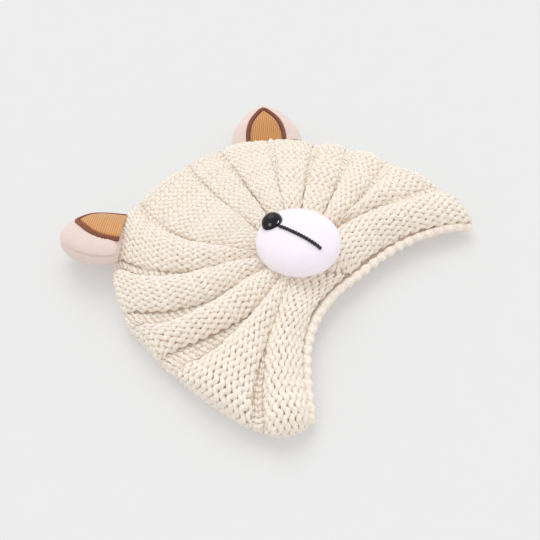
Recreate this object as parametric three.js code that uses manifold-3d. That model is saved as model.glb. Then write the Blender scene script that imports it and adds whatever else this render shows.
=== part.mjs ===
// A baby's chunky knitted turban cap, lying flat on its back layer with the face side up.
// Millimetres, +Z up, +X to the wearer's left, +Y from the brow to the crown.
import * as THREE from "three";
import { mergeVertices } from "three/addons/utils/BufferGeometryUtils.js";
import Module from "manifold-3d";

const wasm = await Module();
wasm.setup();

// ---- Driving dimensions ------------------------------------------------------------------

const GAP = 0.3;                 // clearance between neighbouring pieces
const FIT = 0.05;                // how closely a cut piece keeps to its neighbour's form
const WALL = 4.5;                // thickness of the knitting
const RELIEF = 8;                // how far a welt stands above the creases beside it
const LINING_SHARE = 0.45;       // share of the welt's relief that shows inside the cap
const ROLL = 10;                 // how far in from the outer fold the layers part
const CREASE_TOP = 18;           // height of the creases on the face
const ROLL_TOP = 15;             // height of the creases where the outer fold begins
const GATHER_TOP = 16.5;         // height of the face at the gather under the muzzle
const BROW_TOP = 12.5;           // height of the face along the brow edge
const BACK_CREASE = 1.8;         // how far the creases of the back layer clear the surface
const BEARING_SWELL = 0.6;       // a welt lies flat on the surface where it swells past this
const SCALLOP = 3.2;             // how far a welt bulges past the outer fold
const RELIEF_RISE = 0.42;        // share of a welt's length over which its relief grows
const ROLL_START = 0.6;          // share of a welt's length where it starts to bend down
const ROLL_RELIEF = 0.75;        // share of its relief that a welt keeps at the outer fold
const SWELL_POWER = 0.6;         // below 1 a welt is fuller than a sine wave
const BAND_START = 0.35;         // share of a welt's length where the plain bands open
const BAND_LEAST = 0.5;          // width of a crease between two welts that touch
const BAND_MOST = 0.3;           // a band's side takes no more than this share of a welt

const GATHER = [1, 1];           // where the welts are drawn together
const SEAM_FOOT = [9, -29];      // where the gathering seam meets the brow edge
const SEAM_BOW = -7;             // sideways swing of that seam
const NAPE = { half: 74, drop: -50, rise: 41 };   // the nape edge: half width, ends and arch

// The lines between the welts, in order from the right end of the brow to its left end:
// where each meets the outer fold, its sideways swing, where along it that swing peaks, and
// the width of the plain band that opens in it at the outer fold.
const LINES = [
  { name: "brow_right", to: [88, -65.5], bow: -8.5, lean: 0.5, band: 0 },
  { name: "a", to: [102, -38], bow: -3.5, lean: 0.5, band: 6 },
  { name: "b", to: [101, -2], bow: 5.5, lean: 0.4, band: 6 },
  { name: "c", to: [97, 27], bow: 4.5, lean: 0.45, band: 6 },
  { name: "d", to: [88, 47], bow: -2.3, lean: 0.45, band: 5 },
  { name: "e", to: [71, 73], bow: -3.2, lean: 0.45, band: 5 },
  { name: "f", to: [42, 95], bow: -2, lean: 0.4, band: 4 },
  { name: "g", to: [19, 101], bow: -8.5, lean: 0.5, band: 3 },
  { name: "h", to: [-24, 104], bow: -19, lean: 0.55, band: 5 },
  { name: "i", to: [-66, 83], bow: -14, lean: 0.65, band: 9 },
  { name: "j", to: [-92, 49], bow: -12.5, lean: 0.65, band: 12 },
  { name: "k", to: [-101, 12], bow: -11.5, lean: 0.55, band: 14 },
  { name: "l", to: [-102, -47], bow: 4, lean: 0.65, band: 13 },
  { name: "brow_left", to: [-83, -64], bow: 15, lean: 0.45, band: 0 },
];
const WELTS = LINES.length - 1;
const WELT_STEPS = [0, 0.16, 0.5, 0.84];         // where the mesh cuts across a welt
const FACE_STEPS = 11;
const FACE_CROWDING = 0.85;                      // below 1 the cuts crowd at the outer fold
const ROLL_STEPS = 6;
const BACK_STEPS = 5;

const EDGING = { radius: 3.5, height: 9.6, steps: 26, sides: 8, past: 1.5, cuts: 9, least: 0.08 };

const MUZZLE = { at: [1, 0.5], radius: 23.5, rim: 24, dome: 9.5, under: 8, sides: 28, steps: 6 };
const DOME_POWER = 2.6;           // above 2 the muzzle is fuller than a ball
const NOSE = { along: 18, half: [6.6, 4.9], height: 5.2, under: 3, lean: 24, sides: 20, steps: 5 };
const MOUTH = { from: 12, to: -13.5, radius: 0.9, steps: 10, sides: 6 };

const EAR = {
  length: 33.5, halfWidth: 22.5, halfThick: 11, root: -6, rootThick: 5.5, sides: 24, steps: 12,
  facePower: 2.2, sidePower: 0.62, thinPower: 0.36, blunt: 0.6,
  panel: { length: 27.5, halfWidth: 10.8, archPower: 1.25, blunt: 1.5, from: -6, thick: 1.2 },
  trim: { width: 2.4, height: 1.8, gap: 0.4 },
};
const PANEL_STEPS = 12;
const PANEL_CUTS = 6;
const TRIM_STEPS = 26;
const EARS = [
  { side: "right", at: [65, 70, 12], heading: 42, roll: 0, pitch: 5 },
  { side: "left", at: [-50, 93, 12.5], heading: 115, roll: 18, pitch: 0 },
];

const COLOURS = {
  yarn: { color: 0xefe4cd, roughness: 0.95 },
  muzzle: { color: 0xf6f2f7, roughness: 0.9 },
  plush: { color: 0xe6cdbf, roughness: 0.95 },
  corduroy: { color: 0xd9a06b, roughness: 0.9 },
  satin: { color: 0x7e4638, roughness: 0.6 },
  gloss: { color: 0x121212, roughness: 0.12 },
  thread: { color: 0x1b1b1d, roughness: 0.7 },
};

// ---- Small helpers -----------------------------------------------------------------------

const clamp = (value, low, high) => Math.min(high, Math.max(low, value));
const mix = (a, b, share) => a + (b - a) * share;
const mixPoint = (p, q, share) => p.map((value, axis) => mix(value, q[axis], share));
const ease = (x) => {
  const share = clamp(x, 0, 1);
  return share * share * (3 - 2 * share);
};
const range = (count) => Array.from({ length: count }, (_, index) => index);
const radians = THREE.MathUtils.degToRad;

// A mesh from points and faces, with shared corners.
function surface(points, triangles) {
  const geometry = new THREE.BufferGeometry();
  geometry.setAttribute("position", new THREE.Float32BufferAttribute(points.flat(), 3));
  geometry.setIndex(triangles.flat());
  return geometry;
}

// Two triangles across four corners given anticlockwise as seen from outside.
const quad = (a, b, c, d) => [[a, b, c], [a, c, d]];

// A closed body through rings of equal count, each end closed to its middle.
function loft(rings) {
  const sides = rings[0].length;
  const points = rings.flat();
  const triangles = [];
  for (const ring of range(rings.length - 1)) {
    for (const side of range(sides)) {
      const next = (side + 1) % sides;
      const [low, high] = [ring * sides, (ring + 1) * sides];
      triangles.push(...quad(low + side, low + next, high + next, high + side));
    }
  }
  for (const [ring, turn] of [[0, 1], [rings.length - 1, 0]]) {
    const hub = [0, 1, 2].map((axis) =>
      rings[ring].reduce((sum, point) => sum + point[axis], 0) / sides);
    const centre = points.push(hub) - 1;
    for (const side of range(sides)) {
      const pair = [ring * sides + side, ring * sides + (side + 1) % sides];
      triangles.push(turn ? [centre, pair[1], pair[0]] : [centre, pair[0], pair[1]]);
    }
  }
  return surface(points, triangles);
}

function solid(geometry) {
  const bare = geometry.clone();
  bare.deleteAttribute("normal");
  bare.deleteAttribute("uv");
  const merged = mergeVertices(bare, 1e-4);
  return new wasm.Manifold(new wasm.Mesh({
    numProp: 3,
    vertProperties: new Float32Array(merged.attributes.position.array),
    triVerts: new Uint32Array(merged.index.array),
  }));
}

// The largest body that is left of a piece once its neighbours are cut from it.
function fitted(geometry, neighbours) {
  const cut = neighbours.reduce((rest, other) => rest.subtract(other), solid(geometry));
  const bodies = cut.decompose().sort((a, b) => b.volume() - a.volume());
  const mesh = bodies[0].simplify(FIT).getMesh();
  const result = new THREE.BufferGeometry();
  result.setAttribute("position", new THREE.BufferAttribute(mesh.vertProperties, 3));
  result.setIndex(new THREE.BufferAttribute(mesh.triVerts, 1));
  return result;
}

// ---- The knitted cap ---------------------------------------------------------------------

// Where line number `u` leaves the gather; the two end welts start along the seam.
function lineStart(u) {
  const share = u < 1 ? u : u > WELTS - 1 ? WELTS - u : 1;
  const [x, y] = mixPoint(SEAM_FOOT, GATHER, share);
  return [x + SEAM_BOW * Math.sin(Math.PI * share), y];
}

// A point of one named line, `t` of the way from the gather to the outer fold.
function linePoint(index, from, t) {
  const { to, bow, lean } = LINES[index];
  const [dx, dy] = [to[0] - from[0], to[1] - from[1]];
  const length = Math.hypot(dx, dy);
  const swing = bow * Math.sin(Math.PI * Math.pow(t, Math.log(0.5) / Math.log(lean)));
  return [from[0] + dx * t + swing * dy / length, from[1] + dy * t - swing * dx / length];
}

function facePlan(u, t) {
  const index = Math.min(Math.floor(u), WELTS - 1);
  const from = lineStart(u);
  return mixPoint(linePoint(index, from, t), linePoint(index + 1, from, t), u - index);
}

function faceLength(u) {
  const from = lineStart(u);
  const to = facePlan(u, 1);
  return Math.hypot(to[0] - from[0], to[1] - from[1]);
}

// A point of the nape edge: the arch that the back layer ends on.
function napePoint(u) {
  const share = 1 - 2 * u / WELTS;
  return [NAPE.half * share, NAPE.drop + NAPE.rise * (1 - share * share)];
}

// How far the face has bent down towards the outer fold.
const rollShare = (t) => ease((t - ROLL_START) / (1 - ROLL_START));

// Height of the face in its creases: low at the gather and along the brow.
function creaseHeight(u, t) {
  const inner = mix(GATHER_TOP, CREASE_TOP, ease(t / RELIEF_RISE));
  const height = mix(inner, ROLL_TOP, rollShare(t));
  const side = Math.min(u, WELTS - u, 1);
  return mix(Math.min(height, BROW_TOP), height, ease(side));
}

const reliefAt = (t) => RELIEF * ease(t / RELIEF_RISE) * mix(1, ROLL_RELIEF, rollShare(t));

// Columns of the mesh: for each welt its middle crease and the cuts across it, as the place
// `u` and the swell of the welt there, from 0 in the crease to 1 on its crest.
const COLUMNS = range(WELTS).flatMap((welt) =>
  [{ welt, across: 0, crease: true }, ...WELT_STEPS.map((across) => ({ welt, across })),
    { welt, across: 1 }]).concat([{ welt: WELTS, across: 0, crease: true }]);

function bandShare(index, t) {
  if (index === 0 || index === WELTS) {
    return 0;
  }
  const open = ease((t - BAND_START) / (1 - BAND_START));
  return mix(BAND_LEAST, LINES[index].band, open) / 2;
}

// The place of a column at `t`: the welt's edges give way to the plain bands beside it.
function columnPlace({ welt, across, crease }, t) {
  if (crease) {
    return { u: welt, swell: 0 };
  }
  const [low, high] = [facePlan(welt, t), facePlan(welt + 1, t)];
  const width = Math.max(Math.hypot(high[0] - low[0], high[1] - low[1]), 1e-6);
  const [before, after] = [welt, welt + 1].map((index) =>
    Math.min(bandShare(index, t) / width, BAND_MOST));
  const u = welt + mix(before, 1 - after, across);
  return { u, swell: Math.pow(Math.sin(Math.PI * across), SWELL_POWER) };
}

// One skin of the cap as rows of points: over the face, round the outer fold, along the back.
// `inset` is 0 on the outside and 1 on the lining; `grow` swells the outside by a clearance.
function skin(inset, grow = 0) {
  const share = mix(1, LINING_SHARE, inset);
  const depth = inset * WALL - grow;
  const column = (place) => {
    const points = [];
    const length = faceLength(columnPlace(place, 1).u);
    const parting = 1 - ROLL / length;
    for (const step of range(FACE_STEPS)) {
      const t = parting * Math.pow(step / FACE_STEPS, FACE_CROWDING);
      const { u, swell } = columnPlace(place, t);
      const [x, y] = facePlan(u, t);
      points.push([x, y, creaseHeight(u, t) + share * reliefAt(t) * swell - depth]);
    }
    const { u, swell } = columnPlace(place, 1);
    const edge = facePlan(u, 1);
    const nape = napePoint(u);
    const along = [nape[0] - edge[0], nape[1] - edge[1]];
    const inward = facePlan(u, parting).map((value, axis) => (value - edge[axis]) / ROLL);
    const backward = along.map((value) => value / Math.hypot(...along));
    const top = creaseHeight(u, parting) + share * reliefAt(parting) * swell - depth;
    const lift = BACK_CREASE * Math.max(0, 1 - swell / BEARING_SWELL);
    const bottom = inset ? depth : lift + depth;
    const [half, middle] = [(top - bottom) / 2, (top + bottom) / 2];
    for (const step of range(ROLL_STEPS + 1)) {
      const angle = Math.PI * (0.5 - step / ROLL_STEPS);
      const reach = (ROLL - depth + share * SCALLOP * swell) * Math.cos(angle);
      const run = mixPoint(inward, backward, step / ROLL_STEPS);
      const [x, y] = edge.map((value, axis) => value + run[axis] * (ROLL - reach));
      points.push([x, y, middle + half * Math.sin(angle)]);
    }
    const start = edge.map((value, axis) => value + backward[axis] * ROLL);
    for (const step of range(BACK_STEPS)) {
      const [x, y] = mixPoint(start, nape, (step + 1) / BACK_STEPS);
      points.push([x, y, bottom]);
    }
    return points;
  };
  return COLUMNS.map(column);
}

// The whole cap: both skins, joined along the brow and the nape.
function capGeometry(grow = 0) {
  const [outside, lining] = [skin(0, grow), skin(1)];
  const rows = outside[0].length;
  const columns = COLUMNS.length;
  const points = [...outside.flat(), ...lining.flat()];
  const at = (layer, column, row) => (layer * columns + column) * rows + row;
  const triangles = [];
  const join = (corners) => triangles.push(...quad(...corners.map((corner) => at(...corner))));
  const [far, last] = [columns - 1, rows - 1];
  for (const column of range(far)) {
    const next = column + 1;
    for (const row of range(last)) {
      join([[0, column, row], [0, column, row + 1], [0, next, row + 1], [0, next, row]]);
      join([[1, next, row], [1, next, row + 1], [1, column, row + 1], [1, column, row]]);
    }
    join([[0, column, last], [1, column, last], [1, next, last], [0, next, last]]);
  }
  for (const row of range(last)) {
    join([[0, 0, row], [1, 0, row], [1, 0, row + 1], [0, 0, row + 1]]);
    join([[0, far, row], [0, far, row + 1], [1, far, row + 1], [1, far, row]]);
  }
  const merged = mergeVertices(surface(points, triangles), 1e-3);
  const kept = [];
  const index = merged.index.array;
  for (const first of range(index.length / 3)) {
    const corner = [0, 1, 2].map((offset) => index[first * 3 + offset]);
    if (new Set(corner).size === 3) {
      kept.push(...corner);
    }
  }
  merged.setIndex(kept);
  return merged;
}

// ---- The edging chain --------------------------------------------------------------------

// A round tube along a curve that lies nearly flat.
function tube(curve, radius, sides, steps) {
  const up = new THREE.Vector3(0, 0, 1);
  return loft(range(steps + 1).map((step) => {
    const centre = curve.getPointAt(step / steps);
    const tangent = curve.getTangentAt(step / steps);
    const beside = new THREE.Vector3().crossVectors(up, tangent).normalize();
    const over = new THREE.Vector3().crossVectors(tangent, beside);
    return range(sides).map((side) => {
      const angle = 2 * Math.PI * (side + 0.5) / sides;
      return centre.clone().addScaledVector(beside, radius * Math.cos(angle))
        .addScaledVector(over, radius * Math.sin(angle)).toArray();
    });
  }));
}

// The chain runs outside the brow edge from tip to tip, a little past each.
function edgingGeometry() {
  const { radius, height, steps, sides, past, cuts, least } = EDGING;
  const shares = range(cuts).map((index) => mix(1, least, index / (cuts - 1)));
  const brow = [...shares.map((t) => facePlan(WELTS, t)),
    ...shares.reverse().map((t) => facePlan(0, t))];
  const clear = radius + GAP;
  const beside = brow.map(([x, y], index) => {
    const before = brow[Math.max(index - 1, 0)];
    const after = brow[Math.min(index + 1, brow.length - 1)];
    const [dx, dy] = [after[0] - before[0], after[1] - before[1]];
    const length = Math.hypot(dx, dy);
    return new THREE.Vector3(x + clear * dy / length, y - clear * dx / length, height);
  });
  const extend = (end, next) => end.clone().addScaledVector(end.clone().sub(next).normalize(), past);
  const last = beside.length - 1;
  const path = [extend(beside[0], beside[1]), ...beside, extend(beside[last], beside[last - 1])];
  return tube(new THREE.CatmullRomCurve3(path, false, "centripetal"), radius, sides, steps);
}

// ---- The face: muzzle, nose and mouth ------------------------------------------------------

// Height of the muzzle's dome above a place on the face.
function muzzleTop(x, y) {
  const reach = Math.hypot(x - MUZZLE.at[0], y - MUZZLE.at[1]) / MUZZLE.radius;
  return MUZZLE.rim + MUZZLE.dome * Math.sqrt(Math.max(0, 1 - Math.pow(reach, DOME_POWER)));
}

// A stuffed round pad: a full dome over a shallower underside.
function muzzleGeometry(grow = 0) {
  const { at, radius, rim, dome, under, sides, steps } = MUZZLE;
  const rings = range(2 * steps - 1).map((index) => {
    const angle = Math.PI / 2 * ((index + 1) / steps - 1);
    const reach = Math.pow(Math.cos(angle), 2 / DOME_POWER) * radius + grow;
    const height = rim + Math.sin(angle) * (angle > 0 ? dome + grow : under + grow);
    return range(sides).map((side) => {
      const turn = 2 * Math.PI * side / sides;
      return [at[0] + reach * Math.cos(turn), at[1] + reach * Math.sin(turn), height];
    });
  });
  return loft(rings);
}

// A moulded oval button that leans out over the crown side of the muzzle.
function noseGeometry() {
  const { along, half, height, under, lean, sides, steps } = NOSE;
  const place = new THREE.Matrix4().makeRotationX(radians(-lean))
    .setPosition(MUZZLE.at[0], along, muzzleTop(MUZZLE.at[0], along));
  const rings = range(2 * steps - 1).map((index) => {
    const angle = Math.PI / 2 * ((index + 1) / steps - 1);
    const [reach, rise] = [Math.cos(angle), Math.sin(angle) * (angle > 0 ? height : under)];
    return range(sides).map((side) => {
      const turn = 2 * Math.PI * side / sides;
      return new THREE.Vector3(half[0] * reach * Math.cos(turn), half[1] * reach * Math.sin(turn), rise)
        .applyMatrix4(place).toArray();
    });
  });
  return loft(rings);
}

// One line of thread laid down the middle of the muzzle, from under the nose.
function mouthGeometry() {
  const { from, to, radius, steps, sides } = MOUTH;
  const points = range(steps + 1).map((step) => {
    const y = mix(from, to, step / steps);
    return new THREE.Vector3(MUZZLE.at[0], y, muzzleTop(MUZZLE.at[0], y) + radius + GAP);
  });
  return tube(new THREE.CatmullRomCurve3(points), radius, sides, steps);
}

// ---- The ears ------------------------------------------------------------------------------

// Half width and half thickness of an ear at `y` along it, from its root to its rounded tip.
function earSection(y) {
  const share = clamp(y / EAR.length, 0, 1);
  const full = Math.pow(1 - share * share, EAR.sidePower);
  const root = ease((y - EAR.root) / (EAR.length / 2 - EAR.root));
  const thick = mix(EAR.rootThick, EAR.halfThick, root) * Math.pow(full, EAR.thinPower);
  return { width: EAR.halfWidth * full, thick };
}

// Height of the ear's face over its middle plane.
function earTop(x, y) {
  const { width, thick } = earSection(y);
  return thick * Math.sqrt(Math.max(0, 1 - Math.pow(Math.abs(x) / width, EAR.facePower)));
}

function earPlace({ at, heading, roll, pitch }) {
  return new THREE.Matrix4().makeRotationZ(radians(heading - 90))
    .multiply(new THREE.Matrix4().makeRotationX(radians(pitch)))
    .multiply(new THREE.Matrix4().makeRotationY(radians(roll))).setPosition(...at);
}

function earPad() {
  const { length, root, sides, steps, blunt, facePower } = EAR;
  return loft(range(steps).map((step) => {
    const y = mix(root, length, Math.sin(Math.PI / 2 * step / (steps - blunt)));
    const { width, thick } = earSection(y);
    return range(sides).map((side) => {
      const turn = 2 * Math.PI * side / sides;
      const [c, s] = [Math.cos(turn), Math.sin(turn)].map((value) =>
        Math.sign(value) * Math.pow(Math.abs(value), 2 / facePower));
      return [width * c, y, -thick * s];
    });
  }));
}

// Half width of the inner panel at `y` along the ear.
function panelWidth(y) {
  const { length, halfWidth, archPower } = EAR.panel;
  return halfWidth * Math.cos(Math.PI / 2 * Math.pow(clamp(y / length, 0, 1), archPower));
}

// The inner panel: a pointed arch of cloth that follows the ear's face.
function earPanel() {
  const { length, from, thick, blunt } = EAR.panel;
  return loft(range(PANEL_STEPS).map((step) => {
    const y = mix(from, length - blunt, step / (PANEL_STEPS - 1));
    const width = panelWidth(y);
    const cut = range(PANEL_CUTS + 1).map((index) => width * (1 - 2 * index / PANEL_CUTS));
    const rise = (x, over) => [x, y, earTop(x, y) + over];
    return [...cut.map((x) => rise(x, GAP)), ...cut.reverse().map((x) => rise(x, GAP + thick))];
  }));
}

// The satin outline: a flat ridge that follows the panel's two sides up to its point.
function earTrim() {
  const { width, height, gap } = EAR.trim;
  const { length, from } = EAR.panel;
  const border = range(TRIM_STEPS + 1).map((step) => {
    const share = 1 - 2 * step / TRIM_STEPS;
    const y = mix(length, from, Math.abs(share));
    return [Math.sign(share) * panelWidth(y), y];
  });
  return loft(border.map(([x, y], index) => {
    const before = border[Math.max(index - 1, 0)];
    const after = border[Math.min(index + 1, TRIM_STEPS)];
    const [dx, dy] = [after[0] - before[0], after[1] - before[1]];
    const run = Math.hypot(dx, dy);
    const out = [dy / run, -dx / run];
    const side = (reach, over) => {
      const [px, py] = [x - out[0] * reach, y - out[1] * reach];
      return [px, py, earTop(px, py) + over];
    };
    return [side(-gap - width, GAP), side(-gap, GAP), side(-gap, height), side(-gap - width, height)];
  }));
}

// ---- The assembly --------------------------------------------------------------------------

const group = new THREE.Group();

function add(name, geometry, look) {
  const material = new THREE.MeshStandardMaterial({ ...COLOURS[look], metalness: 0 });
  const mesh = new THREE.Mesh(geometry, material);
  mesh.name = name;
  group.add(mesh);
}

const capClear = solid(capGeometry(GAP));
const muzzleClear = solid(muzzleGeometry(GAP));

add("knit_cap", capGeometry(), "yarn");
add("brow_edging", edgingGeometry(), "yarn");
add("muzzle", fitted(muzzleGeometry(), [capClear]), "muzzle");
add("nose", fitted(noseGeometry(), [muzzleClear, capClear]), "gloss");
add("mouth", mouthGeometry(), "thread");
for (const ear of EARS) {
  const place = earPlace(ear);
  add(`ear_${ear.side}`, fitted(earPad().applyMatrix4(place), [capClear]), "plush");
  add(`ear_${ear.side}_panel`, fitted(earPanel().applyMatrix4(place), [capClear]), "corduroy");
  add(`ear_${ear.side}_trim`, fitted(earTrim().applyMatrix4(place), [capClear]), "satin");
}

// The origin is the middle of the footprint, on the surface that the cap lies on.
const box = new THREE.Box3().setFromObject(group);
const centre = box.getCenter(new THREE.Vector3());
group.position.set(-centre.x, -centre.y, -box.min.z);

export default group;
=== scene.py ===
"""A baby's chunky knitted turban cap: its loops of yarn, the stuffed muzzle and two bear ears."""
import math

import bpy
import numpy as np
from mathutils import Matrix, Vector
from mathutils.bvhtree import BVHTree


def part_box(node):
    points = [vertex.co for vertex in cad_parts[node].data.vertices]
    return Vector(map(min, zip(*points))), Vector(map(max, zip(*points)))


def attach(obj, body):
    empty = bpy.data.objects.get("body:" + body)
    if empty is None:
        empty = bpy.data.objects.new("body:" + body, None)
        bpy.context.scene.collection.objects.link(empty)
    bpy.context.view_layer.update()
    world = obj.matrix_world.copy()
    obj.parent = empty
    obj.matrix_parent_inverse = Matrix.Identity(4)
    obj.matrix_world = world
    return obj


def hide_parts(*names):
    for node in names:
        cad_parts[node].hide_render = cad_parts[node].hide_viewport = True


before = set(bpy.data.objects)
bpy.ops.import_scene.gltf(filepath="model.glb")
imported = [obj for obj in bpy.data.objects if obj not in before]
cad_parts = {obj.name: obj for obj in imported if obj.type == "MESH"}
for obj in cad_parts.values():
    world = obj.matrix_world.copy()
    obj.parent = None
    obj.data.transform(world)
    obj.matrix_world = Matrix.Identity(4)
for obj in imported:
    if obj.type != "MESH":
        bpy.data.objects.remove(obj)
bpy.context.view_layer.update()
bpy.ops.object.select_all(action="DESELECT")

MM = 0.001
TAU = 2 * math.pi

# ---- The form of the cap, in millimetres, in the plan of its own gather ---------------------

ROLL = 10.0              # how far in from the outer fold the layers part
RELIEF = 8.0             # how far a welt stands above the creases beside it
RELIEF_RISE = 0.42       # share of a welt's length over which its relief grows
ROLL_START = 0.6         # share of a welt's length where it starts to bend down
ROLL_RELIEF = 0.75       # share of its relief that a welt keeps at the outer fold
SWELL_POWER = 0.6        # below 1 a welt is fuller than a sine wave
SCALLOP = 3.2            # how far a welt bulges past the outer fold
CREASE_TOP, ROLL_TOP, GATHER_TOP, BROW_TOP = 18.0, 15.0, 16.5, 12.5
BACK_CREASE, BEARING_SWELL = 1.8, 0.6
BAND_START, BAND_LEAST, BAND_MOST = 0.35, 0.5, 0.3
WALL, LINING_SHARE = 4.5, 0.45
GATHER = np.array([1.0, 1.0])
SEAM_FOOT = np.array([9.0, -29.0])
SEAM_BOW = -7.0
NAPE_HALF, NAPE_DROP, NAPE_RISE = 74.0, -50.0, 41.0

# The lines between the welts, from the right end of the brow to its left end: where each meets
# the outer fold, its sideways swing, where along it that peaks, the width of the plain band
# that opens in it, and the rows knitted in that band.
LINES = [
    #  x      y     swing  peak  band rows
    (88, -65.5, -8.5, 0.50, 0, 0),
    (98.5, -39.5, -3.5, 0.50, 6, 2),
    (99.8, -2, 5.5, 0.40, 6, 2),
    (95.9, 26.6, 4.5, 0.45, 6, 2),
    (87, 46.4, -2.3, 0.45, 5, 1),
    (71, 73, -3.2, 0.45, 5, 1),
    (42, 95, -2.0, 0.40, 4, 1),
    (19, 101, -8.5, 0.50, 3, 1),
    (-24, 104, -19.0, 0.55, 5, 1),
    (-66, 83, -14.0, 0.65, 9, 2),
    (-92, 49, -12.5, 0.65, 12, 3),
    (-101, 12, -11.5, 0.55, 14, 3),
    (-102.8, -47.8, 4.0, 0.65, 9, 2),
    (-82, -65.5, 15.0, 0.45, 0, 0),
]
LINE = np.array(LINES, float)
WELTS = len(LINES) - 1
RESTS = 0.1              # nothing goes lower than this over the table it rests on
MUZZLE_AT = np.array([1.0, 0.5])
PRESS_FROM = 2.5         # how far inside a strip's sides the pressing of its neighbour starts


def middle_of(node):
    low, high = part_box(node)
    return np.array((low + high) / 2) / MM


SHIFT = np.array([*(middle_of("muzzle")[:2] - MUZZLE_AT), 0.0])


def ease(x):
    share = np.clip(x, 0, 1)
    return share * share * (3 - 2 * share)


def mix(a, b, share):
    return a + (b - a) * share


def unit(v):
    return v / np.maximum(np.linalg.norm(v, axis=-1, keepdims=True), 1e-9)


def line_start(u):
    """Where line number u leaves the gather; the two end welts start along the seam."""
    share = np.clip(np.minimum(u, WELTS - u), 0, 1)[..., None]
    return mix(SEAM_FOOT, GATHER, share) + SEAM_BOW * np.sin(np.pi * share) * [1.0, 0.0]


def line_point(index, start, t):
    way = LINE[index, :2] - start
    beside = unit(np.stack([way[..., 1], -way[..., 0]], -1))
    swing = LINE[index, 2] * np.sin(np.pi * np.power(t, math.log(0.5) / np.log(LINE[index, 3])))
    return start + way * t[..., None] + beside * swing[..., None]


def face_plan(u, t):
    u, t = np.broadcast_arrays(np.asarray(u, float), np.asarray(t, float))
    index = np.clip(np.floor(u).astype(int), 0, WELTS - 1)
    start = line_start(u)
    low, high = line_point(index, start, t), line_point(index + 1, start, t)
    return mix(low, high, (u - index)[..., None])


def nape_plan(u):
    share = 1 - 2 * u / WELTS
    return np.stack([NAPE_HALF * share, NAPE_DROP + NAPE_RISE * (1 - share * share)], -1)


def roll_share(t):
    return ease((t - ROLL_START) / (1 - ROLL_START))


def crease_height(u, t):
    height = mix(mix(GATHER_TOP, CREASE_TOP, ease(t / RELIEF_RISE)), ROLL_TOP, roll_share(t))
    side = ease(np.minimum(u, WELTS - u))
    return mix(np.minimum(height, BROW_TOP), height, side)


def relief_at(t, welt):
    """The relief of a welt along it: the one at the right brow starts full, over its neighbour."""
    rise = 0.12 if welt == 0 else RELIEF_RISE
    return RELIEF * ease(t / rise) * mix(1, ROLL_RELIEF, roll_share(t))


# How far the knitting fills each crease: the cloth is slack at the crown and tight at the sides.
CREASE_FILL = [0, 0.35, 0.5, 0.55, 0.6, 0.95, 0.55, 0.85, 0.5, 0.18, 0.1, 0.08, 0.25, 0]
# The share of its bulge past the outer fold that each welt keeps.
SCALLOP_KEPT = [0.7, 0.3, 0.4, 0.5, 0.5, 0.9, 0.1, 0.4, 1.3, 0.5, 0.0, 0.6, 1.7]


def place_across(welt, c, t, inset=0.0):
    """The place u, the swell and the bulge at c across a welt: 0 to 1 is the welt, and the plain
    bands beside it run from -1 and to 2. A layer inside the cloth has its sides set in."""
    width = np.linalg.norm(face_plan(welt + 1 - 1e-6, t) - face_plan(float(welt), t), axis=-1)
    opened = ease((t - BAND_START) / (1 - BAND_START))

    def band(line):
        if line in (0, WELTS):
            return np.zeros_like(t)
        return np.minimum(mix(BAND_LEAST, LINE[line, 4], opened) / 2 / np.maximum(width, 1e-6),
                          BAND_MOST)

    before, after = band(welt), band(welt + 1)
    u = welt + mix(before, 1 - after, np.clip(c, 0, 1))
    u = np.where(c < 0, welt + before * (1 + c), u)
    u = np.where(c > 1, welt + 1 - after * (2 - c), u)
    edge = np.minimum(inset / np.maximum(width, 1e-6), 0.3)
    inner = np.clip((np.clip(c, 0, 1) - edge) / (1 - 2 * edge), 0, 1)
    bulge = np.sin(np.pi * inner).clip(0) ** SWELL_POWER
    filled = mix(CREASE_FILL[welt], CREASE_FILL[welt + 1], np.clip(c, 0, 1)) * ease(t * 2)
    return u, bulge + (1 - bulge) * filled, bulge


FACE_CUTS, ROLL_CUTS, BACK_CUTS = 64, 18, 34


def columns(welt, across, cuts=(FACE_CUTS, ROLL_CUTS, BACK_CUTS), depth=0.0, share=1.0):
    """Points at a depth under the cap's skin, with a share of its relief: one column for each
    place across, from the gather over the face, round the outer fold and along the back."""
    c = np.asarray(across, float)[:, None]
    ends, swell, bulge = place_across(welt, c, np.ones_like(c), depth)
    edge = face_plan(ends, np.ones_like(c))
    length = np.linalg.norm(edge - line_start(ends), axis=-1)
    parting = 1 - ROLL / length
    t = parting * np.linspace(0, 1, cuts[0], endpoint=False)[None, :]
    u, rise, _ = place_across(welt, np.broadcast_to(c, t.shape), t, depth)
    height = crease_height(u, t) + share * relief_at(t, welt) * rise - depth
    face = np.concatenate([face_plan(u, t), height[..., None]], -1)

    nape = nape_plan(ends)
    back = unit(nape - edge)
    inward = (face_plan(ends, parting) - edge) / ROLL
    top = crease_height(ends, parting) + share * relief_at(parting, welt) * swell - depth
    lift = BACK_CREASE * np.maximum(0, 1 - swell / BEARING_SWELL) * (1 - depth / WALL)
    bottom = lift + depth
    step = np.linspace(0, 1, cuts[1], endpoint=False)[None, :]
    angle = np.pi * (0.5 - step)
    reach = (ROLL - depth + share * SCALLOP * SCALLOP_KEPT[welt] * bulge) * np.cos(angle)
    run = mix(inward, back, step[..., None])
    plan = edge + run * (ROLL - reach)[..., None]
    level = (top + bottom) / 2 + (top - bottom) / 2 * np.sin(angle)
    fold = np.concatenate([plan, level[..., None]], -1)

    step = np.linspace(0, 1, cuts[2])[None, :, None]
    plan = mix(edge + back * ROLL, nape, step)
    flat = np.concatenate([plan, np.broadcast_to(bottom[..., None], plan.shape[:2] + (1,))], -1)
    return np.concatenate([face, fold, flat], 1)


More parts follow.
